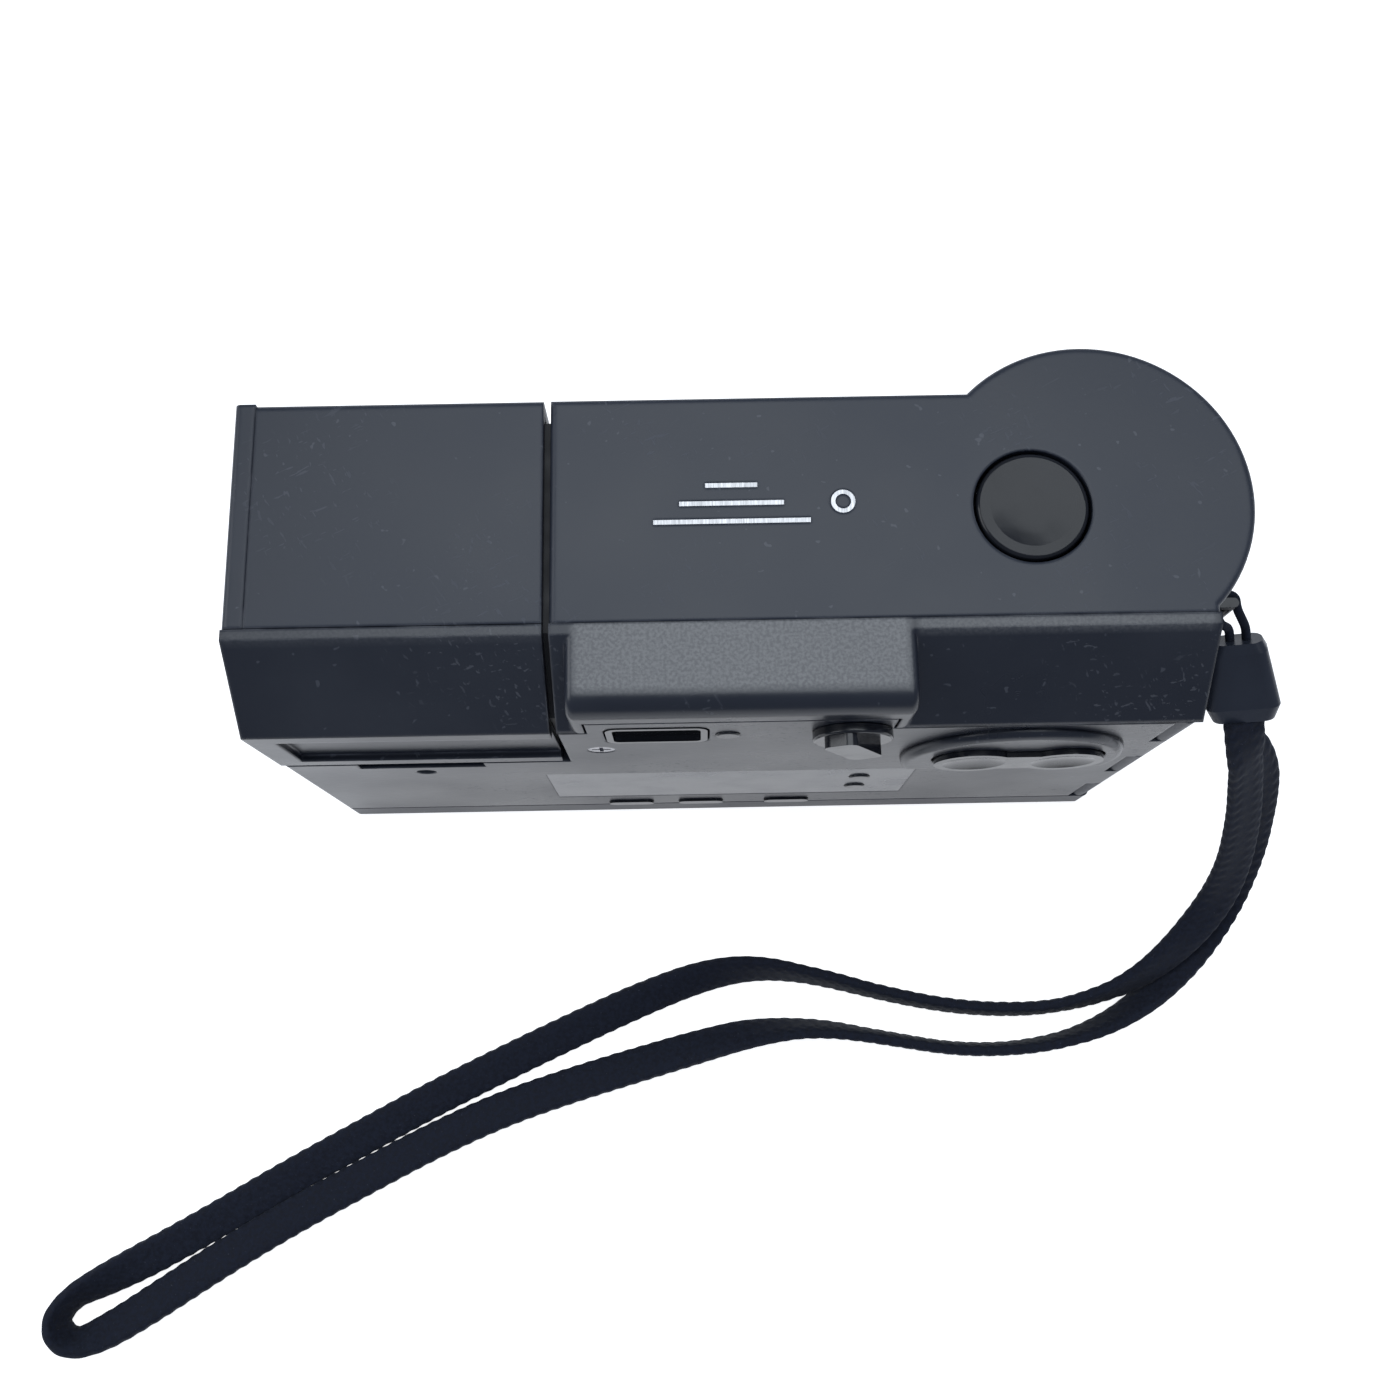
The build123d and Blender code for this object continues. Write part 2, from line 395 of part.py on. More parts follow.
def eyepiece_hole(y0, y1, spare=0.0):
    return rounded_y(EYE_X, EYE_Z, EYE_W - 2 * EYE_RIM + spare, EYE_H - 2 * EYE_RIM + spare,
                     EYE_CORNER_R - EYE_RIM + spare / 2, y0, y1)


def eyepiece_frame():
    frame = rounded_y(EYE_X, EYE_Z, EYE_W, EYE_H, EYE_CORNER_R, BACK - 0.1, INSIDE_Y)
    return frame - eyepiece_hole(BACK - CUT, INSIDE_Y + CUT)


def eyepiece_glass():
    return eyepiece_hole(BACK + 0.6, BACK + 1.5)


# ---- slider ----
def slider_sleeve():
    shell = upper_profile(0, -HALF_W, SLIDER_RIGHT, SLIDER_BOTTOM)
    return shell - upper_profile(TOP_T, -HALF_W + END_CAP_T, SLIDER_RIGHT + CUT, SLIDER_BOTTOM - CUT)


def slider_top_cover():
    part = slider_sleeve() & block(-HALF_W + END_CAP_T + FIT, SLIDER_RIGHT, SEAM_Y, FRONT, LID_Z, BODY_H)
    front_top = part.edges().filter_by(Axis.X).sort_by(lambda e: e.center().Z + e.center().Y)[-1]
    return fillet(front_top, SLIDER_EDGE_R)


def slider_end_cap():
    cap = slider_sleeve() & block(-HALF_W, -HALF_W + END_CAP_T, SEAM_Y, FRONT, SLIDER_BOTTOM, BODY_H)
    outer_top = cap.edges().filter_by(Axis.Y).sort_by(lambda e: e.center().Z - e.center().X)[-1]
    return fillet(outer_top, SLIDER_CAP_R)


def slider_rear_cover():
    part = slider_sleeve() & block(-HALF_W, SLIDER_RIGHT, BACK, SEAM_Y - 2 * FIT, SLIDER_BOTTOM, BODY_H)
    low = SLIDER_BOTTOM + SLIDER_RECESS_LOW
    return part - block(-HALF_W + SLIDER_RECESS_IN, SLIDER_RIGHT + CUT, BACK - CUT, BACK + SLIDER_RECESS_T,
                        low, low + SLIDER_RECESS_H)


def slider_front_cover():
    wall = block(-HALF_W + END_CAP_T, SLIDER_RIGHT, FRONT - TOP_T, FRONT, SLIDER_BOTTOM, LID_Z)
    return wall - block(FLASH_X0, FLASH_X1, 0, FRONT + CUT, FLASH_Z0, FLASH_Z1)


def slider_bed():
    """The fixed inner skin that the slider glides on, stepped back where the flash unit passes."""
    inset, left = TOP_T + CLEAR, -HALF_W + END_CAP_T + CLEAR
    bed = upper_profile(inset, left, BLOCK_LEFT, SHELF_H)
    bed -= upper_profile(inset + SKIN_T, left + SKIN_T, BLOCK_LEFT + CUT, SHELF_H - CUT)
    right, top, rear, skin = FLASH_X1 + 0.5, FLASH_Z1 + 0.6, FLASH_BACK - 0.5, 0.8
    bed -= block(left - CUT, right, rear, FRONT, 0, top)
    bed += block(left, right, rear - skin, rear, SHELF_H, top)
    bed += block(left, right, rear - skin, FRONT - inset, top, top + CUT)
    bed += block(right - skin, right, rear - skin, FRONT - inset, SHELF_H, top + CUT)
    bed -= block(-HALF_W, CASSETTE_SIDE + FIT, BACK, CASSETTE_FRONT + FIT, 0, CHAMBER_TOP + FIT)
    housing = HOUSING_HALF + CLEAR
    return bed - centred(LENS_X, housing, BACK, FRONT, LENS_Z, housing)


def flash_window():
    return block(FLASH_X0 + FIT, FLASH_X1 - FIT, FRONT - 1.5, FRONT - 0.1, FLASH_Z0 + FIT, FLASH_Z1 - FIT)


def flash_reflector():
    rim = 0.5
    outer = block(FLASH_X0 + rim, FLASH_X1 - rim, FLASH_BACK, FRONT - TOP_T, FLASH_Z0 + rim, FLASH_Z1 - rim)
    y = FRONT - TOP_T + FLASH_BOWL_OUT
    return outer - rod_x(y, FLASH_Z, FLASH_BOWL_R, FLASH_X0 + FLASH_CHEEK, FLASH_X1 - FLASH_CHEEK)


def flash_tube():
    return rod_x(FRONT - TOP_T - 2.0, FLASH_Z, FLASH_TUBE_R, FLASH_X0 + FLASH_CHEEK, FLASH_X1 - FLASH_CHEEK)


# ---- controls ----
def shutter_button():
    top, neck = BODY_H + BUTTON_STAND, BODY_H - BUTTON_CAP_H
    cap = rod_z(BUTTON_X, BUTTON_Y, BUTTON_R, neck, top)
    cap = fillet(cap.edges().sort_by(Axis.Z)[-1], BUTTON_EDGE_R)
    cap -= Pos(BUTTON_X, BUTTON_Y, top - CLEAR + BUTTON_DISH_R) * Sphere(BUTTON_DISH_R)
    return cap + rod_z(BUTTON_X, BUTTON_Y, STEM_R, neck - STEM_H, neck)


def button_spring():
    coil = Helix(SPRING_PITCH, SPRING_H, SPRING_R, center=(BUTTON_X, BUTTON_Y, LID_Z - SPRING_DROP))
    return sweep(Plane(origin=coil @ 0, z_dir=coil % 0) * Circle(SPRING_WIRE_R), path=coil)


def button_seat():
    """A shelf on the spool chamber, with the peg that carries the button's spring."""
    top = LID_Z - SEAT_DROP
    near, far = BUTTON_R - 0.5, BUTTON_R + 1.5
    seat = block(BUTTON_X - far, BUTTON_X + near, BUTTON_Y - far, BUTTON_Y + near, CHAMBER_TOP, top)
    return seat + rod_z(BUTTON_X, BUTTON_Y, SEAT_PEG_R, top, top + SEAT_PEG_H)


def mode_knob():
    disc = rod_y(KNOB_X, KNOB_Z, KNOB_R, BACK - KNOB_T, BACK - 0.1)
    disc = fillet(disc.edges().sort_by(Axis.Y)[0], 0.3)
    bar = Rot(0, KNOB_LEAN, 0) * Box(KNOB_BAR_W, KNOB_BAR_T + 0.2, 2 * KNOB_R - 0.8)
    bar = Pos(KNOB_X, BACK - KNOB_T - KNOB_BAR_T / 2, KNOB_Z) * fillet(bar.edges().filter_by(Axis.Y), 1.2)
    shaft = rod_y(KNOB_X, KNOB_Z, KNOB_SHAFT_R, BACK - 0.2, DOOR_IN + 0.4)
    return disc + bar + shaft + rod_y(KNOB_X, KNOB_Z, KNOB_CLIP_R, DOOR_IN + 0.1, DOOR_IN + 0.7)


def rocker_shape(grow, y0, y1):
    left, right = (rod_y(x, ROCKER_Z, PAD_R + grow, y0, y1) for x in ROCKER_PADS)
    return left + right + centred(ROCKER_X, BRIDGE_W / 2, y0, y1, ROCKER_Z, BRIDGE_H / 2 + grow)


def rocker_pod():
    """The raised lens-shaped surround of the zoom rocker, cut flat below."""
    disc = rod_y(POD_X, POD_Z, POD_R, BACK - POD_T, BACK)
    disc = fillet(disc.edges().sort_by(Axis.Y)[0], POD_T - 0.15)
    disc &= block(0, HALF_W, BACK - POD_T - CUT, BACK, ROCKER_Z - PAD_R - POD_LIP, BODY_H)
    return disc - rocker_shape(CLEAR, BACK - POD_T - CUT, BACK + CUT)


def zoom_rocker():
    face = BACK - POD_T - ROCKER_STAND
    body = rocker_shape(0, face, BACK - ROCKER_STAND)
    for x in ROCKER_PADS:
        body -= Pos(x, face - PAD_DISH_R + PAD_DISH_T, ROCKER_Z) * Sphere(PAD_DISH_R)
    half = BRIDGE_H / 2 + CLEAR
    return body + rod_z(ROCKER_X, BACK - 0.6, ROCKER_PIN_R, ROCKER_Z - half, ROCKER_Z + half)


def round_button(z):
    button = rod_y(ROUND_BUTTON_X, z, ROUND_BUTTON_R, BACK - ROUND_BUTTON_STAND, DOOR_IN)
    return fillet(button.edges().sort_by(Axis.Y)[0], 0.2)


def oval_button(x):
    return slot_y(x, OVAL_Z, OVAL_W, OVAL_H, BACK - OVAL_STAND, DOOR_IN)


# ---- film door ----
def rear_door():
    panel = block(-HALF_W, DOOR_RIGHT, BACK, DOOR_IN, DOOR_LOW, SHELF_H - SEAM)
    panel += block(BLOCK_LEFT + 0.2, DOOR_RIGHT, BACK, DOOR_IN, DOOR_LOW, BEVEL_Z - SEAM)
    panel += block(TONGUE_LEFT, TONGUE_RIGHT, BACK, DOOR_IN, DOOR_LOW, TONGUE_TOP)
    panel = fillet(panel.edges().filter_by(Axis.Z).sort_by(Axis.X)[0:1], EDGE_R)
    for z0, z1 in knuckles(1, KNUCKLE_GAP):
        panel += block(DOOR_RIGHT - CUT, HINGE_X, BACK, HINGE_Y, z0, z1)
        panel += rod_z(HINGE_X, HINGE_Y, KNUCKLE_R, z0, z1)
    panel -= rod_z(HINGE_X, HINGE_Y, HINGE_R + FIT, 0, BODY_H)
    return panel - door_cuts()


def door_cuts():
    """Every opening and recess that the door's own parts sit in."""
    out, through, thumb = BACK - CUT, DOOR_IN + CUT, -HALF_W + THUMB_IN
    cuts = [
        rounded_y(EYE_X, EYE_Z, EYE_W + 0.5, EYE_H + 0.5, EYE_CORNER_R + 0.2, out, through),
        centred(PANEL_X, PANEL_W / 2, out, BACK + PANEL_T, PANEL_Z, PANEL_H / 2),
        centred(LCD_X, LCD_W / 2, BACK, through, PANEL_Z, LCD_H / 2),
        rod_y(KNOB_X, KNOB_Z, KNOB_SHAFT_R + FIT, out, through),
        rod_y(LAMP_X, LAMP_Z, LAMP_R + FIT, out, through),
        rod_y(DOOR_SCREW_X, DOOR_SCREW_Z, DOOR_SCREW_HEAD_R + FIT, out, BACK + 0.8),
        rod_y(DOOR_SCREW_X, DOOR_SCREW_Z, DOOR_SCREW_R + PRESS, out, through),
        rocker_shape(CLEAR, out, BACK + 0.6),
        block(thumb, thumb + THUMB_W, out, BACK + THUMB_T, SHELF_H - THUMB_H, SHELF_H),
        rod_y(-HALF_W + DOT_IN, SHELF_H - DOT_DROP, DOT_R, out, BACK + DOT_T),
    ]
    cuts += [rod_y(ROUND_BUTTON_X, z, ROUND_BUTTON_R + 0.1, BACK, through) for z in ROUND_BUTTON_ZS]
    cuts += [slot_y(x, OVAL_Z, OVAL_W + 0.2, OVAL_H + 0.2, out, through) for x in OVAL_XS]
    return cuts


def status_lamp():
    lamp = rod_y(LAMP_X, LAMP_Z, LAMP_R, BACK - LAMP_STAND, DOOR_IN)
    return fillet(lamp.edges().sort_by(Axis.Y)[0], LAMP_STAND)


def door_screw():
    head = rod_y(DOOR_SCREW_X, DOOR_SCREW_Z, DOOR_SCREW_HEAD_R, BACK + FIT, BACK + 0.8)
    for half_x, half_z in ((CROSS_L / 2, CROSS_W / 2), (CROSS_W / 2, CROSS_L / 2)):
        head -= centred(DOOR_SCREW_X, half_x, BACK, BACK + CROSS_T, DOOR_SCREW_Z, half_z)
    return head + rod_y(DOOR_SCREW_X, DOOR_SCREW_Z, DOOR_SCREW_R, BACK + 0.8, DOOR_IN + 1.2)


def display_window():
    pane = centred(PANEL_X, PANEL_W / 2 - FIT, BACK + PRESS, BACK + PANEL_T, PANEL_Z, PANEL_H / 2 - FIT)
    for z in ROUND_BUTTON_ZS:
        pane -= rod_y(ROUND_BUTTON_X, z, ROUND_BUTTON_R + 0.1, BACK - CUT, BACK + PANEL_T + CUT)
    return pane


def display_module():
    rear = BACK + PANEL_T
    return centred(LCD_X, LCD_W / 2 - 0.1, rear, rear + LCD_T, PANEL_Z, LCD_H / 2 - 0.1)


def pressure_plate():
    rear = GATE_Y - 0.25 - PLATE_T
    return centred(LENS_X, PLATE_W / 2, rear, rear + PLATE_T, LENS_Z, PLATE_H / 2)


def plate_leaf(drop):
    rear = BACK + PANEL_T + LCD_T
    return centred(LENS_X, LEAF_W / 2, rear, rear + LEAF_T, LENS_Z - drop, LEAF_H / 2)


def door_latch():
    plate = block(-HALF_W + CLEAR, -HALF_W + CLEAR + LATCH_T, LATCH_Y - LATCH_W / 2, LATCH_Y + LATCH_W / 2,
                  LATCH_LOW, LATCH_LOW + LATCH_H)
    for step in (1, 2, 3):
        z = LATCH_LOW + step * LATCH_H / 4
        plate += block(-HALF_W - LATCH_STAND, -HALF_W + CLEAR, LATCH_Y - LATCH_W / 2, LATCH_Y + LATCH_W / 2,
                       z - 0.4, z + 0.4)
    return plate


# ---- film transport, power and drive ----
def film_cassette():
    can = rod_z(CASSETTE_X, CASSETTE_Y, CASSETTE_R, CASSETTE_LOW, CASSETTE_TOP)
    rear = CASSETTE_Y - CASSETTE_R
    low, high = CASSETTE_LOW + LIP_IN, SHELF_H - LIP_IN
    lip = block(CASSETTE_X + 2, CASSETTE_X + CASSETTE_R - LIP_IN, rear, rear + LIP_T, low, high)
    hub = rod_z(CASSETTE_X, CASSETTE_Y, CASSETTE_HUB_R, CASSETTE_TOP - CASSETTE_HUB_R, CASSETTE_TOP + CUT)
    return can + lip - hub


def rewind_fork():
    shaft = rod_z(CASSETTE_X, CASSETTE_Y, FORK_R, CASSETTE_TOP - 2, CHAMBER_TOP - FORK_GAP)
    half, thin = FORK_BLADE / 2, FORK_BLADE_T / 2
    return shaft + block(CASSETTE_X - half, CASSETTE_X + half, CASSETTE_Y - thin, CASSETTE_Y + thin,
                         CASSETTE_TOP - FORK_DEPTH, CASSETTE_TOP - thin)


def take_up_spool():
    low, high = BASE_T + SPOOL_LIFT, BASE_T + SPOOL_LIFT + SPOOL_H
    core = rod_z(SPOOL_X, SPOOL_Y, SPOOL_R - 1.5, low, high)
    for z in (low, high - SPOOL_FLANGE):
        core += rod_z(SPOOL_X, SPOOL_Y, SPOOL_R, z, z + SPOOL_FLANGE)
    return core


def battery():
    low, high = BASE_T + CLEAR, BASE_T + CLEAR + BATTERY_H
    can = rod_z(BATTERY_X, BATTERY_Y, BATTERY_R, low, high)
    return can + rod_z(BATTERY_X, BATTERY_Y, BATTERY_TIP_R, high, high + BATTERY_TIP_H)


def zoom_motor():
    rear = SPOOL_FRONT + CLEAR
    motor = rod_y(MOTOR_X, MOTOR_Z, MOTOR_R, rear, rear + MOTOR_L)
    return motor + rod_y(MOTOR_X, MOTOR_Z, MOTOR_SHAFT_R, rear + MOTOR_L, rear + MOTOR_L + MOTOR_SHAFT_L)


def main_board():
    """The circuit board over the viewfinder's tube, with its two large chips."""
    low = FINDER_Z1 + CLEAR
    top = low + BOARD_T
    half_w, half_d = BOARD_W / 2, BOARD_D / 2
    board = block(BOARD_X - half_w, BOARD_X + half_w, BOARD_Y - half_d, BOARD_Y + half_d, low, top)
    for x, y, half, height in ((BOARD_X - 7, BOARD_Y - 2, 5, 1.2), (BOARD_X + 6, BOARD_Y + 1, 4, 1.3)):
        board += block(x - half, x + half, y - half, y + half, top, top + height)
    return board


def flash_capacitor():
    x, y = CASSETTE_SIDE - 4.7, FRONT - WALL - 0.25 - CAPACITOR_R
    return rod_z(x, y, CAPACITOR_R, BASE_T + CLEAR, BASE_T + CLEAR + CAPACITOR_H)


# ---- strap ----
def strap_lug():
    """A small bridge on the grip's side that the thin loop passes behind."""
    lug = rod_z(LUG_X, LUG_Y, LUG_R, LUG_Z0, LUG_Z1)
    for z in (LUG_Z0, LUG_Z1 - LUG_ARM_T):
        lug += block(HALF_W, LUG_X, LUG_Y - LUG_R, LUG_Y + LUG_R, z, z + LUG_ARM_T)
    return lug - plan_solid(-PRESS, LUG_Z0 - CUT, LUG_Z1 + CUT)


FERRULE_TOP, FERRULE_END = Vector(63.6, -7.5, 50.4), Vector(65.8, -15.3, 43.8)
FERRULE_AXIS = (FERRULE_END - FERRULE_TOP).normalized()
FERRULE_ACROSS = (1, 0, 0.35)
FERRULE_SECTIONS = ((0.0, 5.6, 3.0), (0.12, 6.6, 3.8), (0.82, 8.8, 5.2), (1.0, 7.4, 4.8))
FERRULE_CORNER_R = 1.3
LOOP_SPREAD, LOOP_RISE, LOOP_PLAY, LOOP_TURN, LOOP_Z = 0.95, 1.6, 0.1, 0.5, 53.5


def strap_ferrule():
    """A moulded wedge that joins the thin loop to the flat strap."""
    length = (FERRULE_END - FERRULE_TOP).length
    faces = []
    for share, width, depth in FERRULE_SECTIONS:
        place = FERRULE_TOP + FERRULE_AXIS * (length * share)
        plane = Plane(origin=place, x_dir=FERRULE_ACROSS, z_dir=FERRULE_AXIS)
        faces.append(plane * RectangleRounded(width, depth, FERRULE_CORNER_R))
    return loft(faces, ruled=True)


def thin_loop():
    """The thin cord loop: round the lug's bar and back to the ferrule."""
    plane = Plane(origin=FERRULE_TOP, x_dir=FERRULE_ACROSS, z_dir=FERRULE_AXIS)
    face, rise = FERRULE_TOP - FERRULE_AXIS * PRESS, FERRULE_AXIS * -LOOP_RISE
    side = plane.x_dir * LOOP_SPREAD
    out = LUG_R + LOOP_TUBE_R + LOOP_PLAY
    near = out + LOOP_TURN
    points = [
        face + side, face + side + rise,
        Vector(LUG_X + out, LUG_Y, LOOP_Z), Vector(LUG_X + out, LUG_Y + near, LOOP_Z),
        Vector(LUG_X - out, LUG_Y + near, LOOP_Z), Vector(LUG_X - out, LUG_Y - near, LOOP_Z),
        face - side + rise, face - side,
    ]
    return round_tube(points, LOOP_TUBE_R)


STRAP_ROUTE = [
    (65.41, -16.39, 44.91), (66.25, -19.35, 42.40),
    (68.3, -22.0, 36.2), (70.6, -26.3, 28.2), (72.2, -31.9, 18.2), (71.2, -36.9, 10.8),
    (66.4, -42.7, 7.2), (60.4, -47.1, 4.6), (52.5, -49.7, 3.1), (45.0, -50.6, 2.85), (35.0, -50.1, 2.85),
    (24.5, -48.0, 2.85), (14.5, -45.2, 2.8), (5.5, -43.6, 2.6), (-2.5, -44.6, 2.3), (-12.3, -48.1, 1.95),
    (-22.7, -52.6, 1.8), (-33.1, -57.3, 1.7), (-43.3, -62.1, 1.65), (-53.4, -67.3, 1.65),
    (-63.4, -72.5, 1.65), (-73.3, -78.0, 1.65), (-82.6, -82.9, 1.7), (-88.9, -85.9, 2.0),
    (-93.6, -88.2, 2.6), (-95.6, -91.6, 2.8), (-93.0, -94.5, 2.6), (-88.2, -92.9, 2.0),
    (-81.6, -89.0, 1.7), (-72.9, -83.6, 1.65), (-63.1, -78.0, 1.65), (-53.2, -73.0, 1.65),
    (-43.2, -68.0, 1.65), (-33.0, -63.6, 1.7), (-22.7, -60.3, 1.75), (-12.3, -57.4, 1.85),
    (-3.0, -54.9, 2.1), (4.5, -53.1, 2.5), (13.8, -52.5, 2.8), (24.2, -54.3, 2.85), (34.5, -56.2, 2.85),
    (45.0, -56.1, 2.9), (54.5, -54.0, 3.0), (62.4, -49.9, 3.2), (69.0, -43.9, 4.0), (73.6, -36.8, 8.2),
    (74.7, -29.6, 17.6), (73.4, -23.6, 27.6), (71.4, -19.6, 34.6),
    (67.04, -17.22, 40.15), (66.20, -14.26, 42.65),
]


def wrist_strap():
    return round_tube([Vector(*point) for point in STRAP_ROUTE], STRAP_TUBE_R)


SIMPLE_NODES = {
    "base_plate": base_plate, "tripod_bush": tripod_bush, "battery_cap": battery_cap,
    "grip_cover": grip_cover, "front_cover": front_cover, "top_cover": top_cover,
    "rear_upper_cover": rear_upper_cover,
    "chassis": chassis, "lens_housing": lens_housing, "lens_barrel_outer": barrel_outer,
    "lens_barrel_inner": barrel_inner, "lens_front_ring": front_ring, "viewfinder_tube": viewfinder_tube,
    "eyepiece_frame": eyepiece_frame, "eyepiece_glass": eyepiece_glass, "slider_top_cover": slider_top_cover,
    "slider_bed": slider_bed, "slider_end_cap": slider_end_cap, "slider_rear_cover": slider_rear_cover,
    "slider_front_cover": slider_front_cover, "flash_window": flash_window,
    "flash_reflector": flash_reflector, "flash_tube": flash_tube, "shutter_button": shutter_button,
    "shutter_button_spring": button_spring,
    "shutter_button_seat": button_seat, "mode_knob": mode_knob, "rocker_pod": rocker_pod,
    "zoom_rocker": zoom_rocker, "rear_door": rear_door, "status_lamp": status_lamp, "door_screw": door_screw,
    "display_window": display_window, "display_module": display_module, "pressure_plate": pressure_plate,
    "strap_lug": strap_lug, "strap_ferrule": strap_ferrule, "strap_thin_loop": thin_loop,
    "wrist_strap": wrist_strap, "film_cassette": film_cassette, "rewind_fork": rewind_fork,
    "take_up_spool": take_up_spool, "battery": battery, "zoom_motor": zoom_motor, "main_board": main_board,
    "flash_capacitor": flash_capacitor, "door_latch": door_latch,
}

for node, make in SIMPLE_NODES.items():
    save(node, make())

save("viewfinder_front_window", front_pane(FINDER_X0, FINDER_X1))
save("autofocus_window", front_pane(AF_X0, AF_X1))
save("front_lens", lens_element(FRONT - FRONT_LENS_IN, FRONT + FRONT_LENS_OUT))
save("rear_lens", lens_element(FRONT - REAR_LENS_IN, FRONT - REAR_LENS_IN + REAR_LENS_T))
save("top_trim", Compound(inlay(BODY_H)))
save("base_screws", Compound([base_screw(x, y) for x, y in SCREWS]))
save("door_hinge_pin", rod_z(HINGE_X, HINGE_Y, HINGE_R, DOOR_LOW + CLEAR, HINGE_HIGH - CLEAR))
save("plate_springs", Compound([plate_leaf(drop) for drop in LEAF_DROPS]))
for name, z in zip(("date_button", "rewind_button"), ROUND_BUTTON_ZS):
    save(name, round_button(z))
for name, x in zip(("left_data_button", "middle_data_button", "right_data_button"), OVAL_XS):
    save(name, oval_button(x))
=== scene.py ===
import json
import math
import bmesh
import bpy
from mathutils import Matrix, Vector


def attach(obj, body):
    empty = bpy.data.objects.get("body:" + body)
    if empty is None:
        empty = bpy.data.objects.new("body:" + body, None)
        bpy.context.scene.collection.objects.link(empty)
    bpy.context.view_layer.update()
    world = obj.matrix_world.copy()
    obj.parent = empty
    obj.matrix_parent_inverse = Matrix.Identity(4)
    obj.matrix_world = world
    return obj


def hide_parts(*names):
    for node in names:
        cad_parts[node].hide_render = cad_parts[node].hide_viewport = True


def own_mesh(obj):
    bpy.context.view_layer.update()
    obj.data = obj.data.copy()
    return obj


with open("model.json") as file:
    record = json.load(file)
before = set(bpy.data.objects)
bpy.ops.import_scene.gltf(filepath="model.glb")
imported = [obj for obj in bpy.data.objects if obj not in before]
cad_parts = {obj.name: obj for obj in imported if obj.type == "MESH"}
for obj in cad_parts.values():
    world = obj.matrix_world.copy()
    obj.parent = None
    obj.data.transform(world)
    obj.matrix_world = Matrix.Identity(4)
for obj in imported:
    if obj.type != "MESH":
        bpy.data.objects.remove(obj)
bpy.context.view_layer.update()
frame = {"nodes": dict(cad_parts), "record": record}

MM = 0.001


# ---- camera, light and floor ----
# The camera is close above the object, a little behind it, and looks almost straight down.
SENSOR_WIDTH, FOCAL_LENGTH, CLIP_START = 36.0, 35.755, 0.01
CAMERA_PLACE = Vector((-2.718, -53.886, 214.549)) * MM
CAMERA_TURN = (0.2387, 0.003044, -0.017657)

# How much of its own light the floor shows to each kind of ray.
FLOOR_GLOW = (("Is Camera Ray", 0.85), ("Is Transmission Ray", 0.85), ("Is Glossy Ray", 0.52))
FLOOR_SIZE, FLOOR_COLOUR = 3.0, (0.86, 0.86, 0.87, 1)
ROOM_LIGHT, WHITE = (0.21, 0.24, 0.31, 1), (1, 1, 1, 1)


def make_camera():
    data = bpy.data.cameras.new("camera")
    data.sensor_width = SENSOR_WIDTH
    data.lens = FOCAL_LENGTH
    data.clip_start = CLIP_START
    camera = bpy.data.objects.new("camera", data)
    camera.location = CAMERA_PLACE
    camera.rotation_euler = CAMERA_TURN
    bpy.context.collection.objects.link(camera)
    bpy.context.scene.camera = camera


def area_lamp(name, place, size, power, tint):
    """A rectangular soft lamp at a place, turned towards the origin."""
    data = bpy.data.lights.new(name, "AREA")
    data.shape = "RECTANGLE"
    data.size, data.size_y = size
    data.energy = power
    data.color = tint
    lamp = bpy.data.objects.new(name, data)
    lamp.location = place
    lamp.rotation_euler = (-Vector(place)).to_track_quat("-Z", "Y").to_euler()
    bpy.context.collection.objects.link(lamp)


def floor_glow(nodes, links):
    """The floor's own light: full to the camera, less in reflections, none on other surfaces."""
    path = nodes.new("ShaderNodeLightPath")
    total = None
    for ray, strength in FLOOR_GLOW:
        share = nodes.new("ShaderNodeMath")
        share.operation = "MULTIPLY_ADD"
        links.new(path.outputs[ray], share.inputs[0])
        share.inputs[1].default_value = strength
        share.inputs[2].default_value = 0.0
        if total is not None:
            links.new(total, share.inputs[2])
        total = share.outputs[0]
    return total


def make_world():
    """White to the camera, dim and bluish as light."""
    world = bpy.data.worlds.new("world")
    world.use_nodes = True
    bpy.context.scene.world = world
    nodes, links = world.node_tree.nodes, world.node_tree.links
    back = nodes["Background"]
    path = nodes.new("ShaderNodeLightPath")
    mix = nodes.new("ShaderNodeMix")
    mix.data_type = "RGBA"
    mix.inputs["A"].default_value = ROOM_LIGHT
    mix.inputs["B"].default_value = WHITE
    links.new(path.outputs["Is Camera Ray"], mix.inputs["Factor"])
    links.new(mix.outputs["Result"], back.inputs["Color"])


def make_floor():
    bpy.ops.mesh.primitive_plane_add(size=FLOOR_SIZE)
    floor = bpy.context.object
    floor.name = "floor"
    material = bpy.data.materials.new("floor")
    material.use_nodes = True
    nodes, links = material.node_tree.nodes, material.node_tree.links
    nodes.clear()
    out = nodes.new("ShaderNodeOutputMaterial")
    diffuse = nodes.new("ShaderNodeBsdfDiffuse")
    diffuse.inputs["Color"].default_value = FLOOR_COLOUR
    glow = nodes.new("ShaderNodeEmission")
    glow.inputs["Color"].default_value = WHITE
    links.new(floor_glow(nodes, links), glow.inputs["Strength"])
    add = nodes.new("ShaderNodeAddShader")
    links.new(diffuse.outputs[0], add.inputs[0])
    links.new(glow.outputs[0], add.inputs[1])
    links.new(add.outputs[0], out.inputs["Surface"])
    floor.data.materials.append(material)


make_camera()
make_world()
make_floor()
area_lamp("overhead", (0.1, 0.23, 0.9), (0.9, 0.56), 3.7, (0.90, 0.96, 1.0))
area_lamp("left", (-0.7, 0.1, 0.6), (0.5, 0.5), 2.0, (0.95, 0.98, 1.0))
bpy.context.scene.view_settings.view_transform = "Standard"


# ---- the wrist strap ----
STRAP_WIDTH, STRAP_THICK = 5.4 * MM, 1.9 * MM
STRAP_STEP, STRAP_SIDES, ROUTE_RESOLUTION = 0.28, 36, 24
SIDE_POWER, FACE_POWER = 0.75, 0.45
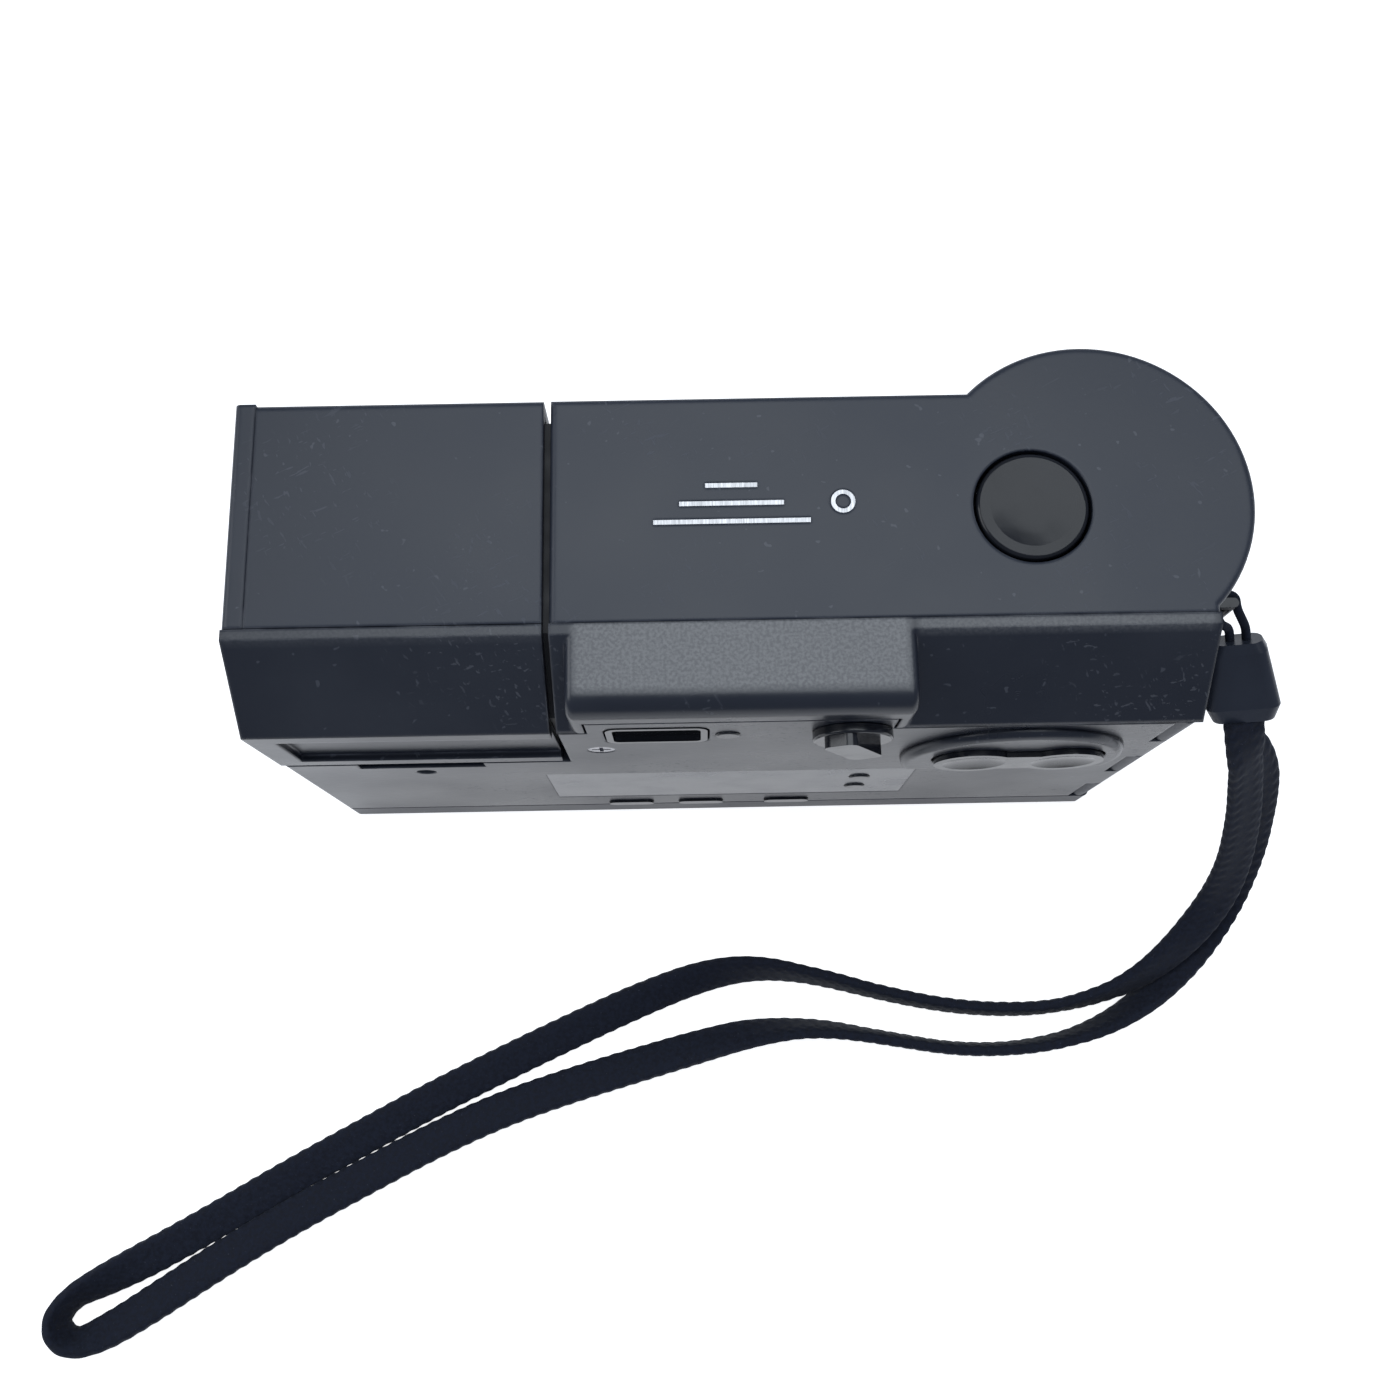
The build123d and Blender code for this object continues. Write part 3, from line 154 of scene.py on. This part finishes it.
# The braid in millimetres: its pitch along the strap, its relief, the groove between columns, the
# waviness of the strap's edges, and how far the plain section lies inside the full width and thickness.
BRAID_PITCH, BRAID_RELIEF, BRAID_GROOVE, EDGE_WAVE = 2.0, 0.085, 0.05, 0.07
WIDTH_INSET, THICK_INSET = 0.12 * MM, 0.08 * MM
# Route in millimetres, and beside each point the strap's lean: 0 lies flat, 90 stands on its edge.
STRAP_ROUTE = [
    (65.41, -16.39, 44.91, 0), (66.25, -19.35, 42.40, 0), (68.3, -22.0, 36.2, 0), (70.6, -26.3, 28.2, 0),
    (72.2, -31.9, 18.2, 5), (71.2, -36.9, 10.8, 20), (66.4, -42.7, 7.2, 45), (60.4, -47.1, 4.6, 70),
    (52.5, -49.7, 3.1, 84), (45.0, -50.6, 2.85, 84), (35.0, -50.1, 2.85, 84), (24.5, -48.0, 2.85, 82),
    (14.5, -45.2, 2.8, 75), (5.5, -43.6, 2.6, 55), (-2.5, -44.6, 2.3, 36), (-12.3, -48.1, 1.95, 23),
    (-22.7, -52.6, 1.8, 18), (-33.1, -57.3, 1.7, 15), (-43.3, -62.1, 1.65, 14), (-53.4, -67.3, 1.65, 14),
    (-63.4, -72.5, 1.65, 14), (-73.3, -78.0, 1.65, 14), (-82.6, -82.9, 1.7, 18), (-88.9, -85.9, 2.0, 40),
    (-93.6, -88.2, 2.6, 66), (-95.6, -91.6, 2.8, 74), (-93.0, -94.5, 2.6, 60), (-88.2, -92.9, 2.0, 30),
    (-81.6, -89.0, 1.7, 16), (-72.9, -83.6, 1.65, 12), (-63.1, -78.0, 1.65, 10), (-53.2, -73.0, 1.65, 10),
    (-43.2, -68.0, 1.65, 12), (-33.0, -63.6, 1.7, 15), (-22.7, -60.3, 1.75, 18), (-12.3, -57.4, 1.85, 21),
    (-3.0, -54.9, 2.1, 28), (4.5, -53.1, 2.5, 42), (13.8, -52.5, 2.8, 66), (24.2, -54.3, 2.85, 80),
    (34.5, -56.2, 2.85, 84), (45.0, -56.1, 2.9, 84), (54.5, -54.0, 3.0, 78), (62.4, -49.9, 3.2, 62),
    (69.0, -43.9, 4.0, 42), (73.6, -36.8, 8.2, 20), (74.7, -29.6, 17.6, 6), (73.4, -23.6, 27.6, 0),
    (71.4, -19.6, 34.6, 0), (67.04, -17.22, 40.15, 0), (66.20, -14.26, 42.65, 0),
]


def spline_points(route, resolution):
    """Points along the smooth line that the route's control points draw."""
    data = bpy.data.curves.new("route", "CURVE")
    data.dimensions = "3D"
    spline = data.splines.new("NURBS")
    spline.points.add(len(route) - 1)
    for point, place in zip(spline.points, route):
        point.co = (place[0] * MM, place[1] * MM, place[2] * MM, 1)
    spline.order_u = 3
    spline.use_endpoint_u = True
    spline.resolution_u = resolution
    carrier = bpy.data.objects.new("route", data)
    bpy.context.collection.objects.link(carrier)
    mesh = bpy.data.meshes.new_from_object(carrier)
    points = [v.co.copy() for v in mesh.vertices]
    bpy.data.objects.remove(carrier)
    bpy.data.meshes.remove(mesh)
    return points


def resample(points, step):
    """Points spaced evenly along the line, and each one's share of the control points passed."""
    places, shares, travelled, target = [points[0]], [0.0], 0.0, step
    for i, (a, b) in enumerate(zip(points, points[1:])):
        run = (b - a).length
        while run > 0 and travelled + run >= target:
            part = (target - travelled) / run
            places.append(a.lerp(b, part))
            shares.append((i + part) / (len(points) - 1))
            target += step
        travelled += run
    places.append(points[-1])
    shares.append(1.0)
    return places, shares


def lean_at(share):
    """The strap's lean in radians, at a share of the route."""
    place = share * (len(STRAP_ROUTE) - 1)
    i = min(int(place), len(STRAP_ROUTE) - 2)
    low, high = STRAP_ROUTE[i][3], STRAP_ROUTE[i + 1][3]
    return math.radians(low + (high - low) * (place - i))


def braid_height(u, v):
    """How far the braid stands out at u, across from -1 to 1, and v, along in millimetres."""
    column = (u * 2.0) % 1.0
    slant = abs(column - 0.5) * 2.0
    wave = math.sin(2 * math.pi * (v / BRAID_PITCH + slant * 0.5))
    return BRAID_RELIEF * wave - BRAID_GROOVE * (slant > 0.9)


def strap_ring(mesh, place, tangent, lean, v):
    """One ring of vertices: a rounded flat section with the braid's relief on its faces."""
    flat_side = tangent.cross(Vector((0, 0, 1))).normalized()
    rise = flat_side.cross(tangent)
    wide = flat_side * math.cos(lean) + rise * math.sin(lean)
    thin = tangent.cross(wide)
    ring = []
    for k in range(STRAP_SIDES):
        angle = 2 * math.pi * k / STRAP_SIDES
        across = math.copysign(abs(math.cos(angle)) ** SIDE_POWER, math.cos(angle))
        through = math.copysign(abs(math.sin(angle)) ** FACE_POWER, math.sin(angle))
        bump = braid_height(across, v) * MM * abs(through)
        edge = EDGE_WAVE * MM * math.sin(2 * math.pi * v / BRAID_PITCH) * abs(across) ** 6
        half_w = STRAP_WIDTH / 2 - WIDTH_INSET + edge
        half_t = STRAP_THICK / 2 - THICK_INSET + bump
        ring.append(mesh.verts.new(place + wide * across * half_w + thin * through * half_t))
    return ring


def make_strap():
    """The flat braided webbing, which stands for the CAD's plain round strap."""
    points, shares = resample(spline_points(STRAP_ROUTE, ROUTE_RESOLUTION), STRAP_STEP * MM)
    mesh = bmesh.new()
    rings = []
    for i, (place, share) in enumerate(zip(points, shares)):
        tangent = (points[min(i + 1, len(points) - 1)] - points[max(i - 1, 0)]).normalized()
        rings.append(strap_ring(mesh, place, tangent, lean_at(share), i * STRAP_STEP))
    for a, b in zip(rings, rings[1:]):
        for k in range(STRAP_SIDES):
            after = (k + 1) % STRAP_SIDES
            mesh.faces.new((a[k], a[after], b[after], b[k])).smooth = True
    mesh.faces.new(rings[0])
    mesh.faces.new(list(reversed(rings[-1])))
    data = bpy.data.meshes.new("strap")
    bmesh.ops.recalc_face_normals(mesh, faces=mesh.faces)
    mesh.to_mesh(data)
    mesh.free()
    strap = bpy.data.objects.new("strap_webbing", data)
    bpy.context.collection.objects.link(strap)
    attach(strap, "body")
    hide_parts("wrist_strap")
    return strap


def make_spring():
    """The shutter button's spring: a copy of the CAD spring with its own mesh, fixed to the body."""
    data = frame["nodes"]["shutter_button_spring"].data.copy()
    spring = bpy.data.objects.new("button_spring_coil", data)
    bpy.context.collection.objects.link(spring)
    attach(spring, "body")
    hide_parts("shutter_button_spring")
    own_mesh(spring)
    return spring


strap = make_strap()
spring = make_spring()


# ---- materials ----
EDGE_SAMPLES, SOFT_SAMPLES = 4, 8


class Nodes:
    """Short calls for building one material's node tree."""

    def __init__(self, name):
        self.material = bpy.data.materials.new(name)
        self.material.use_nodes = True
        self.nodes = self.material.node_tree.nodes
        self.links = self.material.node_tree.links
        self.shader = self.nodes["Principled BSDF"]
        self.place = self.nodes.new("ShaderNodeTexCoord").outputs["Object"]

    def noise(self, scale, detail, stretch=None, turn=(0, 0, 0)):
        """Noise from 0 to 1, its grain drawn finer along each axis by stretch, then turned."""
        source = self.place
        if stretch:
            move = self.nodes.new("ShaderNodeMapping")
            move.vector_type = "TEXTURE"
            move.inputs["Scale"].default_value = tuple(1 / part for part in stretch)
            move.inputs["Rotation"].default_value = turn
            self.links.new(source, move.inputs["Vector"])
            source = move.outputs[0]
        node = self.nodes.new("ShaderNodeTexNoise")
        node.inputs["Scale"].default_value = scale
        node.inputs["Detail"].default_value = detail
        self.links.new(source, node.inputs["Vector"])
        return node.outputs["Fac"]

    def ramp(self, value, low, high, out_low=0.0, out_high=1.0):
        """The value's range from low to high, mapped to another and cut off at its ends."""
        node = self.nodes.new("ShaderNodeMapRange")
        for name, number in zip(("From Min", "From Max", "To Min", "To Max"), (low, high, out_low, out_high)):
            node.inputs[name].default_value = number
        self.links.new(value, node.inputs["Value"])
        return node.outputs[0]

    def math(self, kind, a, b):
        """A sum, product or maximum of two sockets or numbers."""
        node = self.nodes.new("ShaderNodeMath")
        node.operation = kind
        for slot, value in zip(node.inputs, (a, b)):
            if isinstance(value, (int, float)):
                slot.default_value = value
            else:
                self.links.new(value, slot)
        return node.outputs[0]

    def blend(self, amount, low, high):
        """A mix of two colours, each a socket or three numbers."""
        node = self.nodes.new("ShaderNodeMix")
        node.data_type = "RGBA"
        for name, value in (("A", low), ("B", high)):
            if isinstance(value, tuple):
                node.inputs[name].default_value = (*value, 1)
            else:
                self.links.new(value, node.inputs[name])
        self.links.new(amount, node.inputs["Factor"])
        return node.outputs["Result"]

    def edges(self, radius):
        """About 1 on sharp outer edges, 0 on flat faces."""
        bevel = self.nodes.new("ShaderNodeBevel")
        bevel.inputs["Radius"].default_value = radius
        bevel.samples = EDGE_SAMPLES
        geometry = self.nodes.new("ShaderNodeNewGeometry")
        dot = self.nodes.new("ShaderNodeVectorMath")
        dot.operation = "DOT_PRODUCT"
        self.links.new(bevel.outputs[0], dot.inputs[0])
        self.links.new(geometry.outputs["Normal"], dot.inputs[1])
        return self.ramp(dot.outputs["Value"], 0.99, 0.8)

    def inside(self, low, high, blur):
        """1 inside a box in metres, 0 outside it, blurred over a width."""
        split = self.nodes.new("ShaderNodeSeparateXYZ")
        self.links.new(self.place, split.inputs[0])
        total = None
        for axis, a, b in zip(range(3), low, high):
            for ends in ((a - blur, a + blur), (b + blur, b - blur)):
                side = self.ramp(split.outputs[axis], *ends)
                total = side if total is None else self.math("MULTIPLY", total, side)
        return total

    def bump(self, height, strength, distance, soft=0.0):
        """Relief for the shader, over edges that look rounded to the radius soft."""
        node = self.nodes.new("ShaderNodeBump")
        if soft:
            rounded = self.nodes.new("ShaderNodeBevel")
            rounded.inputs["Radius"].default_value = soft
            rounded.samples = SOFT_SAMPLES
            self.links.new(rounded.outputs[0], node.inputs["Normal"])
        node.inputs["Strength"].default_value = strength
        node.inputs["Distance"].default_value = distance
        self.links.new(height, node.inputs["Height"])
        self.links.new(node.outputs[0], self.shader.inputs["Normal"])

    def set(self, **values):
        """Sets the shader's sockets by name, each to a socket, a colour or a number."""
        for name, value in values.items():
            slot = self.shader.inputs[name.replace("_", " ").title().replace("Ior", "IOR")]
            if isinstance(value, tuple):
                slot.default_value = (*value, 1)
            elif isinstance(value, (int, float)):
                slot.default_value = value
            else:
                self.links.new(value, slot)


# Fine scratches in three directions: scale, stretch, turn, and where the noise starts to show.
SCRATCHES = ((130, (1, 14, 14), (0.3, 0.2, 0.45), 0.66), (110, (1, 14, 14), (-0.2, 0.3, -1.0), 0.67),
             (120, (1, 12, 12), (0.1, -0.4, 1.9), 0.68))
SCRATCH_BLUR, SCRATCH_DEPTH, SCRATCH_ROUGHNESS = 0.03, 0.6, 0.15
DUST_START, DUST_BLUR, MARK_STRENGTH, MARK_TONE = 0.75, 0.04, 0.2, (0.22, 0.23, 0.26)
WORN_EDGE_R, WORN_EDGE_TONE = 0.35 * MM, (0.26, 0.27, 0.29)
# The rubbed tone also serves as a painted highlight: on the strips beside the seams it lightens the lit band
# along the rounded edge.
RUBBED_AND_HIGHLIGHT_TONE, RUBBED_AND_HIGHLIGHT_LEAST, GRAIN_DEPTH = (0.17, 0.172, 0.175), 0.55, 0.04 * MM


def worn_black(name, base, lift, rough, grain, grain_size, wear, specks, soft, rubbed_and_lit=()):
    """Black paint or plastic: cloudy tone, grain, dust specks, fine scratches, rubbed edges, and lighter
    boxes, which are rubbed areas or painted highlights on lit bands.
    """
    m = Nodes(name)
    cloud = m.ramp(m.noise(45, 4), 0.35, 0.7)
    colour = m.blend(cloud, base, lift)
    dust_start = DUST_START - specks
    dust = m.ramp(m.noise(900, 1), dust_start, dust_start + DUST_BLUR)
    lines = None
    for scale, stretch, turn, start in SCRATCHES:
        scratch = m.ramp(m.noise(scale, 2, stretch, turn), start, start + SCRATCH_BLUR)
        lines = scratch if lines is None else m.math("MAXIMUM", lines, scratch)
    marks = m.math("MULTIPLY", lines, m.ramp(m.noise(60, 2), 0.5, 0.62))
    shown = m.math("MULTIPLY", m.math("MAXIMUM", dust, marks), MARK_STRENGTH)
    colour = m.blend(shown, colour, MARK_TONE)
    worn_edge = m.math("MULTIPLY", m.edges(WORN_EDGE_R), m.ramp(m.noise(220, 5), 0.45, 0.62))
    colour = m.blend(m.math("MULTIPLY", worn_edge, wear), colour, WORN_EDGE_TONE)
    # Lighter boxes: rubbing on the viewfinder top, and a painted highlight on the strips beside the seams.
    for low, high, blur, amount in rubbed_and_lit:
        fine = m.ramp(m.noise(2600, 2), 0.38, 0.62, RUBBED_AND_HIGHLIGHT_LEAST * amount, amount)
        colour = m.blend(m.math("MULTIPLY", m.inside(low, high, blur), fine), colour, RUBBED_AND_HIGHLIGHT_TONE)
    polish = m.ramp(cloud, 0, 1, rough - 0.04, rough + 0.06)
    m.set(base_color=colour, ior=1.5,
          roughness=m.math("ADD", polish, m.math("MULTIPLY", marks, SCRATCH_ROUGHNESS)))
    height = m.math("ADD", m.noise(grain_size, 2), m.math("MULTIPLY", marks, -SCRATCH_DEPTH))
    m.bump(height, grain, GRAIN_DEPTH, soft)
    return m.material


def gloss_black(name, rough=0.12, shine=1.5):
    """Polished black plastic with finger smears."""
    m = Nodes(name)
    colour = m.blend(m.ramp(m.noise(120, 3), 0.4, 0.7), (0.009, 0.010, 0.013), (0.014, 0.015, 0.019))
    smear = m.ramp(m.noise(260, 4), 0.45, 0.75, rough, rough + 0.12)
    m.set(base_color=colour, roughness=smear, ior=shine)
    m.bump(m.noise(1500, 2), 0.05, 0.03 * MM)
    return m.material


def plain_inner(name, base, rough):
    """Moulded plastic with a cloudy tone and a fine grain."""
    m = Nodes(name)
    tone = m.blend(m.ramp(m.noise(90, 4), 0.3, 0.7), base, tuple(c * 1.5 for c in base))
    m.set(base_color=tone, roughness=m.ramp(m.noise(300, 3), 0.3, 0.7, rough - 0.08, rough + 0.08))
    m.bump(m.noise(1400, 2), 0.15, 0.03 * MM)
    return m.material


def metal(name, base, rough, stretch=(1, 1, 14)):
    """Brushed metal, its grain drawn out across the stretched axis."""
    m = Nodes(name)
    brushed = m.noise(500, 3, stretch)
    colour = m.blend(m.ramp(brushed, 0.3, 0.7), base, tuple(c * 0.8 for c in base))
    m.set(base_color=colour, metallic=1.0, roughness=m.ramp(brushed, 0.3, 0.7, rough - 0.06, rough + 0.08))
    m.bump(brushed, 0.12, 0.02 * MM)
    return m.material


def clear_glass(name, tint):
    """Tinted glass or clear plastic with faint smears."""
    m = Nodes(name)
    smear = m.ramp(m.noise(200, 3), 0.45, 0.8, 0.0, 0.03)
    m.set(base_color=tint, roughness=smear, ior=1.5)
    m.set(transmission_weight=0.9)
    return m.material


def display_glass(name):
    """The smoked, slightly rubbed window over the display."""
    m = Nodes(name)
    haze = m.ramp(m.noise(140, 4), 0.4, 0.75)
    m.set(base_color=m.blend(haze, (0.12, 0.12, 0.125), (0.17, 0.17, 0.175)))
    m.set(roughness=m.ramp(haze, 0, 1, 0.14, 0.26), ior=1.5)
    return m.material


def display_face(name):
    """The grey face of the liquid crystal display."""
    m = Nodes(name)
    cells = m.noise(2600, 1)
    colour = m.blend(m.ramp(cells, 0.3, 0.7), (0.50, 0.50, 0.50), (0.57, 0.57, 0.565))
    m.set(base_color=colour, roughness=m.ramp(m.noise(150, 3), 0.4, 0.7, 0.2, 0.3))
    return m.material


def webbing(name):
    """Woven polyester: yarn tone, soft sheen and a fine fibre bump."""
    m = Nodes(name)
    yarn = m.noise(1900, 3)
    colour = m.blend(m.ramp(yarn, 0.35, 0.65), (0.005, 0.007, 0.015), (0.012, 0.016, 0.030))
    fluff = m.ramp(m.noise(3200, 1), 0.74, 0.78)
    colour = m.blend(m.math("MULTIPLY", fluff, 0.3), colour, (0.10, 0.11, 0.14))
    m.set(base_color=colour, roughness=m.ramp(yarn, 0.3, 0.7, 0.7, 0.9))
    m.set(specular_ior_level=0.25, sheen_weight=0.08, sheen_roughness=0.5)
    m.bump(yarn, 0.5, 0.08 * MM)
    return m.material


def paint(node, material):
    """Gives one CAD node its material."""
    data = frame["nodes"][node].data
    data.materials.clear()
    data.materials.append(material)


def box(low, high, blur, amount):
    """One lighter area, rubbed or a painted highlight: its corners and blur, given in millimetres, and how
    strongly it is lightened.
    """
    return Vector(low) * MM, Vector(high) * MM, blur * MM, amount


# The top of the viewfinder block, which is rubbed, and the strips beside the seam on the right and on the
# slider, where the same lighter tone is a painted highlight on the lit band along the rounded edge.
RUBBED_AND_LIT_AREAS = (box((-16.7, -16.3, 60.0), (21.1, -8.0, 67.0), 0.6, 1.0),
          box((22.2, -10.1, 64.0), (55.5, -8.4, 67.0), 0.4, 0.55),
          box((-56.0, -10.1, 64.0), (-20.2, -8.4, 67.0), 0.4, 0.2))
PAINT = worn_black("satin_paint", base=(0.020, 0.025, 0.037), lift=(0.030, 0.036, 0.050), rough=0.40,
                   grain=0.10, grain_size=1400, wear=0.35, specks=0.0, soft=0.6 * MM)
PLASTIC = worn_black("grained_plastic", base=(0.015, 0.018, 0.027), lift=(0.023, 0.027, 0.037), rough=0.30,
                     grain=0.35, grain_size=900, wear=0.55, specks=0.02, soft=0.5 * MM, rubbed_and_lit=RUBBED_AND_LIT_AREAS)
GLOSS = gloss_black("gloss_black")
INNER = plain_inner("inner_plastic", (0.02, 0.02, 0.022), 0.55)
BARREL = plain_inner("barrel_black", (0.015, 0.015, 0.017), 0.35)
STEEL = metal("steel", (0.5, 0.5, 0.52), 0.3)
SILVER = metal("silver_inlay", (0.62, 0.62, 0.63), 0.42, (14, 1, 1))
CAN = metal("metal_can", (0.45, 0.45, 0.47), 0.35)
MIRROR = metal("reflector", (0.85, 0.85, 0.86), 0.08)
GLASS = clear_glass("clear_glass", (0.85, 0.88, 0.9))
DARK_GLASS = clear_glass("dark_glass", (0.02, 0.02, 0.025))
LAMP = gloss_black("lamp_lens", 0.2)
BOARD = plain_inner("circuit_board", (0.012, 0.06, 0.03), 0.4)
FERRULE = plain_inner("ferrule_plastic", (0.019, 0.023, 0.034), 0.38)
WEB = webbing("strap_web")

MATERIALS = {
    "black_body": PAINT, "rear_plastic": PLASTIC, "gloss_black": GLOSS, "inner_plastic": INNER,
    "lens_black": BARREL, "glass": GLASS, "display_film": display_glass("display_film"),
    "display_grey": display_face("display_face"), "reflector": MIRROR, "silver": SILVER, "steel": STEEL,
    "lamp": LAMP, "board_green": BOARD, "metal_can": CAN, "strap_webbing": WEB, "ferrule_plastic": FERRULE,
}
SLOTS = {part["node"]: part["material_slot"] for part in frame["record"]["subparts"]}
for node in frame["nodes"]:
    paint(node, MATERIALS[SLOTS[node]])
paint("eyepiece_glass", DARK_GLASS)
paint("shutter_button", gloss_black("button_black", 0.13, 1.38))
paint("strap_lug", gloss_black("black_lacquer", 0.3))
strap.data.materials.append(WEB)
spring.data.materials.clear()
spring.data.materials.append(STEEL)


# ---- softened edges on the CAD pieces ----
MOULDED = ("slider_top_cover", "slider_end_cap", "slider_rear_cover", "rear_upper_cover", "rear_door",
           "front_cover", "grip_cover", "base_plate")
SOFT_EDGE, SOFT_SEGMENTS, FLAT_ANGLE, SHARP_ANGLE = 0.25 * MM, 3, 0.5, 32


def soften(node):
    """Rounds a moulded piece's sharp edges a little, without changing its size."""
    piece = frame["nodes"][node]
    flat = piece.modifiers.new("merge", "DECIMATE")
    flat.decimate_type = "DISSOLVE"
    flat.angle_limit = math.radians(FLAT_ANGLE)
    bevel = piece.modifiers.new("soft_edge", "BEVEL")
    bevel.width = SOFT_EDGE
    bevel.segments = SOFT_SEGMENTS
    bevel.limit_method = "ANGLE"
    bevel.angle_limit = math.radians(SHARP_ANGLE)
    bevel.harden_normals = True


for node in MOULDED:
    soften(node)
